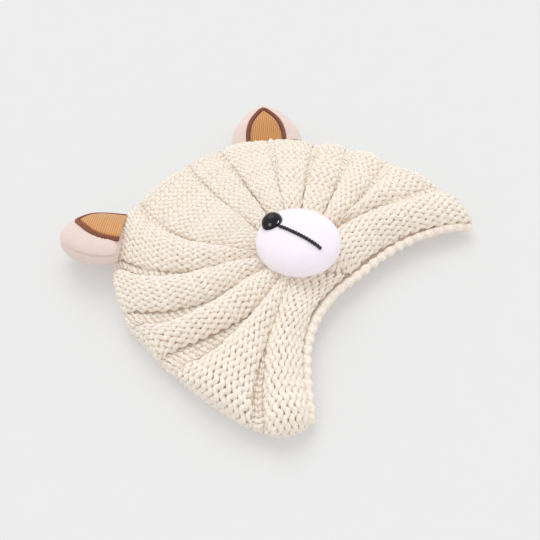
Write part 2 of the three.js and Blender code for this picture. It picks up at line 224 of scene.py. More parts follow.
class Strip:
    """A strip of the cap's outside that knitting is laid on. Along is measured from the gather,
    across from the strip's middle, and past its sides it dives into the creases, where it is
    pressed against its neighbour."""

    def __init__(self, skin, spread, dive=1.0, reach=36, drop=None):
        self.points = skin
        steps = np.linalg.norm(np.diff(skin, axis=0), axis=-1)
        run = np.concatenate([np.zeros((1, skin.shape[1])), steps.cumsum(0)])
        self.half = run[-1] / 2
        centre = skin[len(skin) // 2]
        along = np.linalg.norm(np.diff(centre, axis=0), axis=-1)
        self.along = np.concatenate([[0], along.cumsum()])
        sides = (skin[0] + skin[-1]) / 2
        chord = skin[-1] - skin[0]
        out = unit(np.cross(np.gradient(sides, axis=0), chord))
        self.across = np.arange(-reach, reach + 0.5, 1.0)
        grid = np.empty((skin.shape[1], len(self.across), 3))
        for cut in range(skin.shape[1]):
            q = run[:, cut] - self.half[cut]
            for axis in range(3):
                grid[cut, :, axis] = np.interp(self.across, q, skin[:, cut, axis])
            past = (np.abs(self.across) - self.half[cut])[:, None]
            beside = np.sign(self.across)[:, None] * unit(chord[cut])
            press = spread * ease(past / PRESS_FROM + 1)
            past = past.clip(0)
            grid[cut] += ((1 - dive) * past + press) * beside - dive * past * out[cut]
        for _ in range(2):
            grid[:, 1:-1] = (grid[:, :-2] + 2 * grid[:, 1:-1] + grid[:, 2:]) / 4
        self.grid = grid
        way, side = np.gradient(grid, axis=0), np.gradient(grid, axis=1)
        normal = unit(np.cross(way, side))
        for _ in range(2):
            normal[:, 1:-1] = unit(normal[:, :-2] + 2 * normal[:, 1:-1] + normal[:, 2:])
            normal[1:-1] = unit(normal[:-2] + 2 * normal[1:-1] + normal[2:])
        self.normal = normal
        if drop is not None:
            self.grid = self.grid - normal * drop[:, None, None]
        # How far each cut is from the outer fold, along each line of the grid by itself.
        steps = np.linalg.norm(np.diff(self.grid, axis=0), axis=-1)
        gone = np.concatenate([np.zeros((1, len(self.across))), steps.cumsum(0)])
        self.run = gone - gone[FACE_CUTS] + self.along[FACE_CUTS]

    def at(self, along, values):
        """A value kept for each cut, read at a distance along the strip."""
        return np.interp(along, self.along, values)

    def lay(self, along, across, height):
        """Points at a height over the strip's skin."""
        j = np.clip(across - self.across[0], 0, len(self.across) - 1.001)
        j0 = j.astype(int)
        fj = (j - j0)[..., None]
        cuts = np.arange(len(self.along))
        near, far = np.zeros_like(along), np.zeros_like(along)
        for column in np.unique(j0):
            here = j0 == column
            near[here] = np.interp(along[here], self.run[:, column], cuts)
            far[here] = np.interp(along[here], self.run[:, column + 1], cuts)

        def read(grid, i, column):
            i = np.clip(i, 0, len(cuts) - 1.001)
            i0 = i.astype(int)
            return mix(grid[i0, column], grid[i0 + 1, column], (i - i0)[..., None])

        # Past the strip's last cut the knitting runs straight on.
        over = (along - np.minimum(along, mix(self.run[-1, j0], self.run[-1, j0 + 1], fj[:, 0])))
        way = unit(self.grid[-1] - self.grid[-2])[j0]
        skin = mix(read(self.grid, near, j0), read(self.grid, far, j0 + 1), fj)
        normal = mix(read(self.normal, near, j0), read(self.normal, far, j0 + 1), fj)
        return skin + normal * height[..., None] + way * over[..., None]

    def begins(self, across):
        """How far along the strip begins at a place across it."""
        return np.interp(across, self.across, self.run[0])

    def ends(self, across):
        return np.interp(across, self.across, self.run[-1])


# ---- Small tools of the bench ----------------------------------------------------------------

def chosen():
    return bpy.context.object


def choose(*pieces):
    """Selects these pieces and nothing else, with the first one active."""
    bpy.ops.object.select_all(action="DESELECT")
    for piece in pieces:
        piece.select_set(True)
    bpy.context.view_layer.objects.active = pieces[0]


def finish_piece(piece, name, material):
    piece.name = piece.data.name = name
    choose(piece)
    bpy.ops.object.transform_apply(location=True, rotation=True, scale=True)
    bpy.ops.object.shade_smooth()
    piece.data.materials.clear()
    piece.data.materials.append(material)
    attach(piece, "root")
    return piece


def apply_modifiers(piece):
    choose(piece)
    for modifier in list(piece.modifiers):
        bpy.ops.object.modifier_apply(modifier=modifier.name)


def corners(piece):
    """The piece's vertices in its own numbers, as an array."""
    flat = np.empty(len(piece.data.vertices) * 3, np.float32)
    piece.data.vertices.foreach_get("co", flat)
    return flat.reshape(-1, 3).astype(float)


def move_corners(piece, points):
    piece.data.vertices.foreach_set("co", np.asarray(points, np.float32).ravel())
    piece.data.update()


def paint_map(piece, name, pairs):
    """Gives the piece a UV map from a pair of numbers for each of its vertices."""
    layer = piece.data.uv_layers.get(name) or piece.data.uv_layers.new(name=name)
    index = np.empty(len(piece.data.loops), np.int32)
    piece.data.loops.foreach_get("vertex_index", index)
    layer.data.foreach_set("uv", np.asarray(pairs, np.float32)[index].ravel())


def note(piece, name, values):
    """Keeps a number for each of the piece's vertices, for its material to read."""
    layer = piece.data.attributes.new(name, "FLOAT", "POINT")
    layer.data.foreach_set("value", np.asarray(values, np.float32))


def edit(piece, *steps):
    """Runs edit-mode steps on the whole piece."""
    choose(piece)
    bpy.ops.object.mode_set(mode="EDIT")
    bpy.ops.mesh.select_all(action="SELECT")
    for step in steps:
        step()
    bpy.ops.object.mode_set(mode="OBJECT")


def grow(points):
    """From millimetres in the cap's plan to metres in the frame."""
    return (points + SHIFT) * MM


def wobble(x, y, seed, size):
    """A smooth, repeatable unevenness of the hand that knitted it."""
    rng = np.random.default_rng(seed)
    total = np.zeros(np.broadcast(x, y).shape)
    for length in (9.0, 14.0, 23.0, 41.0):
        turn, phase = rng.uniform(0, TAU), rng.uniform(0, TAU)
        total = total + np.sin((x * math.cos(turn) + y * math.sin(turn)) * TAU / length + phase)
    return total * size / 2


def delete_corners(piece, unwanted):
    """Deletes some of the piece's vertices."""
    edit(piece, lambda: bpy.ops.mesh.select_all(action="DESELECT"))
    piece.data.vertices.foreach_set("select", np.asarray(unwanted, bool))
    bpy.ops.object.mode_set(mode="EDIT")
    bpy.ops.mesh.delete(type="VERT")
    bpy.ops.object.mode_set(mode="OBJECT")


def merge(piece, distance=2e-6):
    edit(piece, lambda: bpy.ops.mesh.remove_doubles(threshold=distance))


def face_out():
    bpy.ops.mesh.normals_make_consistent(inside=False)


def close_up(piece, distance=1e-5):
    """Joins a piece's doubled vertices, fills what is open and turns its faces out."""
    merge(piece, distance)
    edit(piece, lambda: bpy.ops.mesh.fill_holes(sides=0), face_out)


def patch(cuts, sides, count=1, rows=1):
    """A flat patch of unit size, copied along X and then along Z: it is rolled or laid later."""
    bpy.ops.mesh.primitive_grid_add(x_subdivisions=cuts, y_subdivisions=sides, size=1)
    piece = chosen()
    move_corners(piece, corners(piece) + [0.5, 0.5, 0])
    size = len(piece.data.vertices)
    for label, total, step in (("along", count, (1, 0, 0)), ("rows", rows, (0, 0, 1))):
        modifier = piece.modifiers.new(label, "ARRAY")
        modifier.count = total
        modifier.use_relative_offset = False
        modifier.use_constant_offset = True
        modifier.constant_offset_displace = step
    apply_modifiers(piece)
    number = np.arange(len(piece.data.vertices)) // size
    return piece, corners(piece), number % count, number // count


def roll_yarn(path, x, around, radius, flip=1.0):
    """Points round the middle of a yarn, and how they stand off it."""
    step = 1e-3
    tangent = unit(path(x + step) - path(x - step))
    beside = unit(np.cross([0.0, 0.0, flip], tangent))
    over = np.cross(tangent, beside)
    turn = around[:, None] * TAU
    return path(x), radius * (beside * np.cos(turn) + over * np.sin(turn))


# ---- The knitting ------------------------------------------------------------------------------

YARN = 1.75              # radius of the yarn
STITCH = 6.4             # usual width of a stitch, along a welt
ROW = 4.9                # height of a row, across a welt
LEAST_ROW = 4.2          # rows are never drawn closer than this: the rest dive into the creases
LEAN = 0.5               # how far the sides of a loop lean past each other
TILT = 0.1               # how far each arc of a loop rises along its row
REACH = 3.7              # how far a loop reaches to each side of its row
DIP = 1.3                # how far the yarn dips in and out of the cloth
ARCH, PLUNGE = 2.8, 3.2  # how flat the arcs of a loop are across the row, and on its outside
SQUASH = 0.8             # the yarn lies a little flat
COVER = 2.3              # depth of the middle of the cloth below the outside
STEPS, SIDES = 16, 7     # cuts along a stitch, and sides of the yarn
DIVE = (4.4, 1.6)        # a row ends this far into a crease, on the face and on the back
LOWEST = -1.75           # the yarn never dips further than this from the middle of the cloth
UNEVEN = (0.35, 0.3, 0.3)            # how uneven the hand is along, across and out of the cloth
WELT_START, END_START = 15.0, 2.0    # where the knitting of a welt starts, and of the end welts
BAND_START_AT, BAND_GAUGE = 20.0, (7.0, ROW, 1.0)

# The width of a stitch, the height of a row and the share of its dips that the yarn keeps, on
# each welt, from the right brow round to the left: the crown is knitted tighter than the sides.
GAUGE = [(7.6, 4.9, 0.7), (7.3, 4.8, 0.45), (7.0, 4.7, 0.4), (6.6, 4.6, 0.4), (6.2, 4.5, 0.4),
         (5.3, 4.4, 0.4), (4.9, 4.2, 0.4), (5.0, 4.2, 0.5), (6.0, 4.4, 0.6), (6.2, 4.4, 0.8),
         (6.2, 4.4, 1.0), (7.5, 4.5, 1.0), (7.9, 4.6, 1.0)]
PRESS = (0.5, 0.85)      # how far a side is pressed to its neighbour, at the sides and the crown
BAND_LIES = ((0.4, 0.15), (1.5, 0.6))    # depth and dive of a band, at the crown and the left
BAND_SLANT = -0.2        # how far the strands of a plain band slant as they cross it


def purl_loop(x):
    """The middle of the yarn at x stitches along a row: along, across and out of the cloth."""
    turn = TAU * (x - 0.5)
    off = 2 / np.pi * np.arcsin(np.abs(np.sin(turn)))
    side = REACH * np.sign(np.cos(turn)) * (1 - off ** ARCH)
    return np.stack([x + LEAN / STITCH * np.sin(2 * turn), side + TILT * np.sin(2 * turn),
                     DIP * (1 - 2 * off ** PLUNGE)], -1)


def plain_loop(x):
    return purl_loop(x) * [1, 1, -1]


def knit(name, strip, rows, start, loop, gauge, slant, seed):
    """Knits rows on a strip. A row is its place across, its height as a share of a full row and
    whether the cloth is there, for each cut of the strip."""
    stitch_width, yarn = gauge[0], YARN * (gauge[1] / ROW) ** 0.8
    count = int((strip.run[-1].max() - start) / stitch_width) + 1
    piece, flat, stitch, row = patch(STEPS, SIDES, count, len(rows))
    centre, off = roll_yarn(lambda x: loop(x) * [stitch_width, 1, gauge[2]],
                            flat[:, 0], flat[:, 1], yarn)
    along = start + centre[:, 0]

    def pick(column, where):
        return np.array([strip.at(where, item[column]) for item in rows])[row, np.arange(len(row))]

    across = pick(0, along) + centre[:, 1] * pick(1, along)
    along = along + slant * across
    dx, dy, dz = (wobble(along, across, seed + k, size) for k, size in enumerate(UNEVEN))
    height = np.maximum(centre[:, 2] + SQUASH * off[:, 2], LOWEST) + dz - COVER
    points = strip.lay(along + off[:, 0] + dx, across + off[:, 1] + dy, height)
    middle = start + (stitch + 0.5) * stitch_width
    row_at = pick(0, middle)
    gone = ((pick(2, middle) < 0.5) | (middle < strip.begins(row_at) + 1.5)
            | (middle > strip.ends(row_at) - slant * row_at))
    points[:, 2] = points[:, 2].clip(RESTS)
    move_corners(piece, grow(points))
    paint_map(piece, "yarn", np.stack([flat[:, 0] * STITCH * 1.7, flat[:, 1]], -1))
    paint_map(piece, "OFBake", np.stack([flat[:, 0] / count, (row + flat[:, 1]) / len(rows)], -1))
    # How deep each point of the yarn lies: the material paints the deepest parts tan, as the shade
    # in the holes between the loops.
    note(piece, "depth", centre[:, 2] + off[:, 2])
    delete_corners(piece, gone)
    merge(piece)
    piece.name = name
    return piece


def welt_strip(welt):
    across = (1 - np.cos(np.linspace(0, np.pi, 29))) / 2
    return Strip(columns(welt, across), PRESS[0 < welt < 9])


def knit_welt(welt, material):
    strip = welt_strip(welt)
    width = 2 * strip.half
    count = int(round(width.max() / GAUGE[welt][1]))
    pitch = np.maximum(width / count, GAUGE[welt][1] * LEAST_ROW / ROW)
    dives = mix(*DIVE, ease((np.arange(len(width)) - FACE_CUTS) / ROLL_CUTS))
    rows = []
    for number in range(-2, count + 2):
        place = (number - (count - 1) / 2) * pitch
        rows.append((place, pitch / ROW, (np.abs(place) < strip.half + dives).astype(float)))
    start = END_START if welt in (0, WELTS - 1) else WELT_START
    piece = knit(f"welt_{welt + 1:02d}", strip, rows, start, purl_loop,
                 GAUGE[welt], 0.0, 100 + welt * 10)
    finish_piece(piece, piece.name, material)
    return piece


def knit_band(line, material):
    """The plain rows in the valley between two welts: where it narrows, they go under the welts."""
    skin = np.concatenate([columns(line - 1, np.linspace(1, 2, 5)),
                           columns(line, np.linspace(-1, 0, 5))[1:]])
    wide = np.linalg.norm(np.diff(skin, axis=0), axis=-1).sum(0)
    count = LINES[line][5]
    deep, dive = BAND_LIES[line > 8]
    face = 1 - ease((np.arange(len(wide)) - FACE_CUTS) / 12)
    strip = Strip(skin, 0.0, dive, drop=face * (deep + np.clip((4.2 - wide) * 0.5, 0, 2.0)))
    pitch = np.maximum(wide / count, 3.4)
    rows = []
    for number in range(-1, count + 1):
        place = (number - (count - 1) / 2) * pitch
        there = (np.abs(place) < wide / 2 + 2.4) & (wide > 0.8)
        rows.append((place, pitch / ROW, there.astype(float)))
    piece = knit(f"band_{line:02d}", strip, rows, BAND_START_AT, plain_loop,
                 BAND_GAUGE, BAND_SLANT, 300 + line * 10)
    finish_piece(piece, piece.name, material)
    return piece


def ground(material):
    """The body of the cloth under the loops, with the lining that shows inside the cap. Its outer
    layer is painted a darker tan, as the shade under the loops.
    """
    across = [-1, 0, 0.08, 0.14, 0.2, 0.28, 0.38, 0.5, 0.62, 0.72, 0.8, 0.86, 0.92, 1]
    layers = []
    for depth, share in ((2.6, 0.95), (WALL, LINING_SHARE)):
        grid = [columns(welt, across, (26, 8, 14), depth, share) for welt in range(WELTS)]
        layers.append(np.concatenate([*grid, columns(WELTS - 1, [2], (26, 8, 14), depth, share)]))
    pieces = []
    for number, grid in enumerate(layers):
        wide, long = grid.shape[:2]
        bpy.ops.mesh.primitive_grid_add(x_subdivisions=wide - 1, y_subdivisions=long - 1, size=1)
        piece = chosen()
        flat = corners(piece) + 0.5
        i, j = (np.rint(flat[:, k] * (size - 1)).astype(int) for k, size in ((0, wide), (1, long)))
        move_corners(piece, grow(grid[i, j]))
        paint_map(piece, "cloth", np.stack([i / (wide - 1), j / (long - 1)], -1))
        # Marks the outer layer, which the material paints a darker tan as the shade under the
        # loops.
        note(piece, "shaded_under_loops", np.full(len(flat), 1.0 - number))
        merge(piece, 1e-5)
        edit(piece, face_out)
        pieces.append(piece)
    choose(*pieces)
    bpy.ops.object.join()
    shell = chosen()
    edit(shell, lambda: bpy.ops.mesh.select_all(action="DESELECT"),
         lambda: bpy.ops.mesh.select_non_manifold(extend=False),
         lambda: bpy.ops.mesh.bridge_edge_loops(),
         lambda: bpy.ops.mesh.select_all(action="SELECT"), face_out)
    return finish_piece(shell, "ground", material)


# ---- The edges ----------------------------------------------------------------------------------

EDGE_YARN = 2.05         # radius of each of the two strands of an edge
EDGE_APART = (0.6, 0.5)  # how far the strands lie off the edge's middle, beside it and over it
EDGE_KNOT = 6.8          # the length of a stitch of the edge
EDGE_TURN = 14.5         # length in which the strands turn once round each other


def edge_roll(name, points, size, seed, material):
    """The rolled edge of the knitting: two plump strands that turn round each other, painted darker
    on their underside and between the edge's stitches as shade.
    """
    for _ in range(3):
        points = np.concatenate([points[:1], (points[:-1] + points[1:]) / 2, points[-1:]])
    steps = np.concatenate([[0], np.linalg.norm(np.diff(points, axis=0), axis=-1).cumsum()])
    cuts = int(steps[-1] / 0.9)
    piece, flat, strand, _ = patch(cuts, 10, 2)
    share = flat[:, 0] - strand
    along = share * steps[-1]

    def place(where):
        return np.stack([np.interp(where, steps, points[:, k]) for k in range(3)], -1)

    way = unit(place(along + 1.5) - place(along - 1.5))
    beside = unit(np.cross([0, 0, 1.0], way))
    over = np.cross(way, beside)
    uneven = wobble(along, along * 0.3 + strand * 5, seed, 0.3)
    turn = TAU * along / EDGE_TURN + np.pi * strand + uneven
    off = size * (beside * (EDGE_APART[0] * np.cos(turn))[:, None]
                  + over * (EDGE_APART[1] * np.sin(turn))[:, None])
    plump = 1 + 0.11 * np.sin(TAU * along / EDGE_KNOT) + 0.15 * uneven
    end = np.sqrt(np.clip(np.minimum(along, steps[-1] - along) / 2.0, 0.02, 1))
    around = flat[:, 1] * TAU
    skin = size * EDGE_YARN * (beside * np.cos(around)[:, None] + over * np.sin(around)[:, None])
    move_corners(piece, grow(place(along) + off + skin * (plump * end)[:, None]))
    paint_map(piece, "yarn", np.stack([along * 1.1, flat[:, 1]], -1))
    paint_map(piece, "OFBake", np.stack([share, (strand + flat[:, 1]) / 2], -1))
    # A made-up depth that the material turns into painted shade: darker on the strands' underside
    # and where they thin between stitches.
    note(piece, "depth", 0.95 + 0.3 * np.sin(TAU * along / EDGE_KNOT) + 0.25 * np.sin(around))
    merge(piece)
    edit(piece, lambda: bpy.ops.mesh.fill_holes(sides=0))
    return finish_piece(piece, name, material)


def brow_edge(material):
    shares = np.linspace(0.995, 0.08, 24)
    brow = np.concatenate([face_plan(WELTS, shares), face_plan(0, shares[::-1])])
    way = np.gradient(brow, axis=0)
    beside = unit(np.stack([way[:, 1], -way[:, 0]], -1))
    middle = np.sin(np.pi * np.linspace(0, 1, len(brow)))[:, None]
    run = np.concatenate([brow + (0.8 + 3.0 * middle) * beside, 10.2 - 5 * (1 - middle) ** 8], -1)
    return edge_roll("brow_roll", run, 1.0, 41, material)


def nape_edge(material):
    run = np.concatenate([nape_plan(np.linspace(0.1, WELTS - 0.1, 40)), np.full((40, 1), 3.0)], -1)
    return edge_roll("nape_roll", run - [0, 1.5, 0], 0.85, 43, material)


# ---- Muzzle, nose and mouth ---------------------------------------------------------------------

MUZZLE = dict(at=(0.7, 0.9), radius=23.9, rim=25.0, dome=11.6, under=9.5, power=2.5)
NOSE = dict(at=(-2.3, 17.0), half=(6.4, 5.7), height=5.4, under=3.6, lean=20)
MOUTH = dict(start=(-4.1, 11.4), end=(-2.6, -16.4), strand=0.76, pitch=3.6, away=0.32, lift=0.75)


def muzzle_top(x, y):
    reach = np.hypot(x - MUZZLE["at"][0], y - MUZZLE["at"][1]) / MUZZLE["radius"]
    return MUZZLE["rim"] + MUZZLE["dome"] * np.sqrt(np.maximum(0, 1 - reach ** MUZZLE["power"]))


def ball(segments, rings):
    """A round ball of unit size, and its corners' turns round the axis and up from its middle."""
    bpy.ops.mesh.primitive_uv_sphere_add(segments=segments, ring_count=rings, radius=1)
    piece = chosen()
    points = corners(piece)
    turn = np.arctan2(points[:, 1], points[:, 0])
    rise = np.arcsin(np.clip(points[:, 2], -1, 1))
    return piece, turn, rise


SEWN_IN = 0.001          # how deep a sewn piece sits among the loops


def cap_tool():
    """The cap's solid, a yarn's depth smaller, to cut the pieces that are sewn to it."""
    bpy.ops.object.select_all(action="DESELECT")
    node = bpy.data.objects["knit_cap"]
    tool = node.copy()
    tool.data = node.data.copy()
    bpy.context.collection.objects.link(tool)
    tool.name = "cap_tool"
    merge(tool, 1e-6)
    edit(tool, face_out, lambda: bpy.ops.transform.shrink_fatten(value=-SEWN_IN))
    return tool


def cut_by(piece, tool):
    modifier = piece.modifiers.new("cap", "BOOLEAN")
    modifier.operation = "DIFFERENCE"
    modifier.solver = "EXACT"
    modifier.object = tool
    apply_modifiers(piece)


def cap_height(tool, points):
    """The height of the cap's outside at each place in its plan."""
    tree = BVHTree.FromObject(tool, bpy.context.evaluated_depsgraph_get())
    heights = []
    for x, y, _ in grow(points):
        spot = tree.ray_cast(Vector((x, y, 1.0)), Vector((0, 0, -1)))[0]
        heights.append(spot.z / MM if spot else 0.0)
    return np.array(heights)


def muzzle(tool, material):
    piece, turn, rise = ball(112, 60)
    reach = np.cos(rise).clip(0) ** (2 / MUZZLE["power"]) * MUZZLE["radius"]
    lift = np.sin(rise) * np.where(rise > 0, MUZZLE["dome"], MUZZLE["under"])
    x, y = (MUZZLE["at"][0] + reach * np.cos(turn), MUZZLE["at"][1] + reach * np.sin(turn))
    z = MUZZLE["rim"] + lift + wobble(x, y, 5, 0.25) * np.cos(rise)
    points = np.stack([x, y, z], -1)
    rests_at = cap_height(tool, points) + 0.3
    points[:, 2] = np.where(rise < 0.05, np.maximum(z, rests_at), z)
    move_corners(piece, grow(points))
    finish_piece(piece, "stuffed_muzzle", material)
    return piece


def nose(material):
    piece, turn, rise = ball(48, 28)
    x = NOSE["half"][0] * np.cos(rise) * np.cos(turn)
    y = NOSE["half"][1] * np.cos(rise) * np.sin(turn)
    z = np.sin(rise) * np.where(rise > 0, NOSE["height"], NOSE["under"])
    lean = Matrix.Rotation(math.radians(-NOSE["lean"]), 3, "X")
    points = np.stack([x, y, z], -1) @ np.array(lean).T
    move_corners(piece, grow(points + [*NOSE["at"], muzzle_top(*NOSE["at"])]))
    return finish_piece(piece, "nose_button", material)


def mouth(material):
    """Two strands of thread, twisted together and laid down the middle of the muzzle."""
    piece, flat, strand, _ = patch(120, 8, 2)
    x = flat[:, 0] - strand
    side = mix(MOUTH["start"][0], MOUTH["end"][0], x)
    run = mix(MOUTH["start"][1], MOUTH["end"][1], x)
    twist = TAU * np.abs(run - MOUTH["start"][1]) / MOUTH["pitch"] + np.pi * strand
    radius = MOUTH["strand"] * np.minimum(1, np.minimum(x, 1 - x) * 40 + 0.35)
    away = MOUTH["away"]
    centre = np.stack([side + away * np.cos(twist), run,
                       muzzle_top(side, run) + MOUTH["lift"] + away * np.sin(twist)], -1)
    around = flat[:, 1] * TAU
    points = centre + radius[:, None] * np.stack([np.cos(around), 0 * around, np.sin(around)], -1)
    move_corners(piece, grow(points))
    paint_map(piece, "yarn", np.stack([run, flat[:, 1]], -1))
    close_up(piece, 2e-6)
    return finish_piece(piece, "mouth_thread", material)


# ---- The ears -----------------------------------------------------------------------------------

EAR = dict(thick=11.0, root=-6.0, face=2.2, side=0.62, thin=0.36)
PANEL = dict(arch=1.35, root=-6.0, gap=0.3, thick=1.2, rib=1.25, rib_height=0.22, front=0.9)
TRIM = dict(width=2.9, height=1.9, gap=0.3)
EARS = [
    dict(side="right", at=(65, 70, 12), heading=42, roll=0, pitch=5,
         length=35.2, half=25.3, off=0.0, waist=1.0, seat=2.0, panel=(25.5, 10.0, -0.6),
         ribs=0),
    dict(side="left", at=(-47.7, 97.2, 12.5), heading=125, roll=18, pitch=0,
         length=30.8, half=24.3, off=-6.8, waist=0.97, seat=7.5, panel=(19.2, 14.4, -2.4),
         ribs=1),
]


def ear_section(ear, y):
    """The middle, half width and thickness of an ear at y; the waist narrows its lower side."""
    share = np.clip(y / ear["length"], 0, 1)
    full = (1 - share * share).clip(0) ** EAR["side"]
    kept = mix(ear["waist"], 1, ease((y - EAR["root"]) / 12))
    root = ease((y - EAR["root"]) / (ear["length"] / 2 - EAR["root"]))
    thick = mix(ear["seat"], EAR["thick"], root) * full ** EAR["thin"]
    return ear["off"] + ear["half"] * full * (1 - kept), ear["half"] * full * kept, thick


def ear_top(ear, x, y):
    middle, width, thick = ear_section(ear, y)
    share = np.abs(x - middle) / np.maximum(width, 1e-6)
    return thick * np.sqrt((1 - share ** EAR["face"]).clip(0))


def panel_width(ear, y):
    length, half, _ = ear["panel"]
    return half * np.cos(np.pi / 2 * np.clip(y / length, 0, 1) ** PANEL["arch"])


def ear_turn(ear):
    return np.array(Matrix.Rotation(math.radians(ear["heading"] - 90), 3, "Z")
                    @ Matrix.Rotation(math.radians(ear["pitch"]), 3, "X")
                    @ Matrix.Rotation(math.radians(ear["roll"]), 3, "Y"))


def ear_place(ear, points):
    return grow(points @ ear_turn(ear).T + np.array(ear["at"]))


# The pads' filling, in Blender's units, and the most it moves a point, in millimetres.
PUFF = dict(voxel=0.003, mass=0.02, pressure=600.0, frames=20, most=1.2)
SEAM, TUCK = 0.05, 0.9   # how deep the seam round the pad's side is, and the tucks under it


def puff_up(piece):
    """Blows a sewn pad up as cloth, and holds every point to a short way from where it was."""
    weave = piece.modifiers.new("weave", "REMESH")
    weave.mode = "VOXEL"
    weave.voxel_size = PUFF["voxel"]
    apply_modifiers(piece)
    before = corners(piece)
    cloth = piece.modifiers.new("cloth", "CLOTH")
    cloth.settings.mass = PUFF["mass"]
    cloth.settings.use_pressure = True
    cloth.settings.uniform_pressure_force = PUFF["pressure"]
    cloth.settings.effector_weights.gravity = 0
    for frame_number in range(1, PUFF["frames"] + 1):
        bpy.context.scene.frame_set(frame_number)
    apply_modifiers(piece)
    bpy.context.scene.frame_set(1)
    moved = corners(piece) - before
    far = np.linalg.norm(moved, axis=-1, keepdims=True)
    most = PUFF["most"] * MM
    move_corners(piece, before + moved * most * np.tanh(far / most) / np.maximum(far, 1e-9))
    round_off = piece.modifiers.new("round", "SUBSURF")
    round_off.levels = round_off.render_levels = 2
    apply_modifiers(piece)


def sew_pad(ear, piece):
    """Draws in the seam and the tucks, and holds the pad flat under its patch."""
    x, y, z = ((corners(piece) / MM - SHIFT - ear["at"]) @ ear_turn(ear)).T
    middle, width, thick = ear_section(ear, y)
    c = np.clip((x - middle) / np.maximum(width, 1e-6), -1, 1)
    draw = SEAM * np.exp(-((z / np.maximum(thick, 1e-6) - 0.15) / 0.06) ** 2)
    x = middle + (x - middle) * (1 - draw)
    tuck = TUCK * np.abs(np.sin(np.pi * (y - 0.3 * x) / 8.5)) ** 0.6 * ease(-c * 2 - 1)
    z = z + tuck * np.sqrt(1 - c * c)
    patch_side = panel_width(ear, y) + TRIM["width"]
    under = (np.abs(x - ear["panel"][2]) < patch_side) & (y < ear["panel"][0] + TRIM["width"])
    z = np.where(under, np.minimum(z, ear_top(ear, x, y)), z)
    points = ear_place(ear, np.stack([x, y, z], -1))
    points[:, 2] = points[:, 2].clip(RESTS * MM)
    move_corners(piece, points)


def sew_on(piece, ear, tool, name, material):
    """Cuts an ear's piece off where the knitting covers it, and finishes it."""
    cut_by(piece, tool)
    return finish_piece(piece, f"ear_{ear['side']}_{name}", material)


def ear_pad(ear, tool, material):
    piece, flat, _, _ = patch(60, 72)
    y = mix(EAR["root"], ear["length"], np.sin(np.pi / 2 * flat[:, 0]))
    middle, width, thick = ear_section(ear, y)
    turn = flat[:, 1] * TAU
    power = 2 / EAR["face"]
    c, s = np.cos(turn), np.sin(turn)
    x = middle + width * np.sign(c) * np.abs(c) ** power
    z = -thick * np.sign(s) * np.abs(s) ** power
    soft = wobble(x * 1.3, y * 1.3 + z, 11 + len(ear["side"]), 0.35)
    move_corners(piece, ear_place(ear, np.stack([x, y, z + soft * np.abs(s)], -1)))
    close_up(piece)
    puff_up(piece)
    sew_pad(ear, piece)
    sew_on(piece, ear, tool, "pad", material)
    return piece


def ear_panel(ear, tool, material):
    piece, flat, _, _ = patch(44, 130)
    y = mix(PANEL["root"], ear["panel"][0], flat[:, 0])
    width = panel_width(ear, y)
    share = PANEL["front"]
    top = flat[:, 1] < share + 1e-6
    under = (flat[:, 1] - share) / (1 - share)
    x = width * np.where(top, 1 - 2 * flat[:, 1] / share, 2 * under - 1)
    side = np.minimum(1, np.sqrt(((width - np.abs(x)) / 1.0).clip(0)))
    over_ribs, with_ribs = (y, x) if ear["ribs"] else (x, y)
    rib = PANEL["rib_height"] * (np.abs(np.sin(np.pi * over_ribs / PANEL["rib"])) - 1)
    over = np.where(top, PANEL["thick"] * side + rib * side, 0)
    x = x + ear["panel"][2]
    points = np.stack([x, y, ear_top(ear, x, y) + PANEL["gap"] + over], -1)
    move_corners(piece, ear_place(ear, points))
    paint_map(piece, "cloth", np.stack([over_ribs, with_ribs], -1))
    close_up(piece)
    return sew_on(piece, ear, tool, "corduroy", material)


def ear_trim(ear, tool, material):
    piece, flat, _, _ = patch(90, 12)
    share = 1 - 2 * flat[:, 0]

    def border(value):
        y = mix(ear["panel"][0], PANEL["root"], np.abs(value))
        return np.stack([np.sign(value) * panel_width(ear, y) + ear["panel"][2], y], -1)

    way = unit(border(share - 0.01) - border(share + 0.01))
    out = np.stack([way[:, 1], -way[:, 0]], -1)
    turn = flat[:, 1] * TAU
    reach = TRIM["gap"] + TRIM["width"] / 2 * (1 + np.cos(turn))
    rise = np.maximum(np.sin(turn), -0.1) * (TRIM["height"] - PANEL["gap"]) + PANEL["gap"]
    spot = border(share) + out * reach[:, None]
    points = np.stack([spot[:, 0], spot[:, 1], ear_top(ear, spot[:, 0], spot[:, 1]) + rise], -1)
    move_corners(piece, ear_place(ear, points))
    length = share * (ear["panel"][0] - PANEL["root"])
    paint_map(piece, "cloth", np.stack([length, flat[:, 1]], -1))
    close_up(piece)
    return sew_on(piece, ear, tool, "satin", material)


# ---- Materials ----------------------------------------------------------------------------------

class Wire:
    """A socket of a material's nodes, with the arithmetic that joins it to others."""

    def __init__(self, bench, socket):
        self.bench, self.socket = bench, socket

    def math(self, operation, *others):
        return self.bench.node("ShaderNodeMath", {"operation": operation},
                               dict(enumerate([self, *others])))

    def __add__(self, other): return self.math("ADD", other)
    def __radd__(self, other): return self.math("ADD", other)
    def __mul__(self, other): return self.math("MULTIPLY", other)
    def __rmul__(self, other): return self.math("MULTIPLY", other)
    def __sub__(self, other): return self.math("SUBTRACT", other)
    def __rsub__(self, other): return self.bench.number(other).math("SUBTRACT", self)
    def __truediv__(self, other): return self.math("DIVIDE", other)
    def __pow__(self, other): return self.math("POWER", other)
    def __abs__(self): return self.math("ABSOLUTE")
    def sin(self): return self.math("SINE")
    def clamp(self): return self.math("MAXIMUM", 0.0).math("MINIMUM", 1.0)


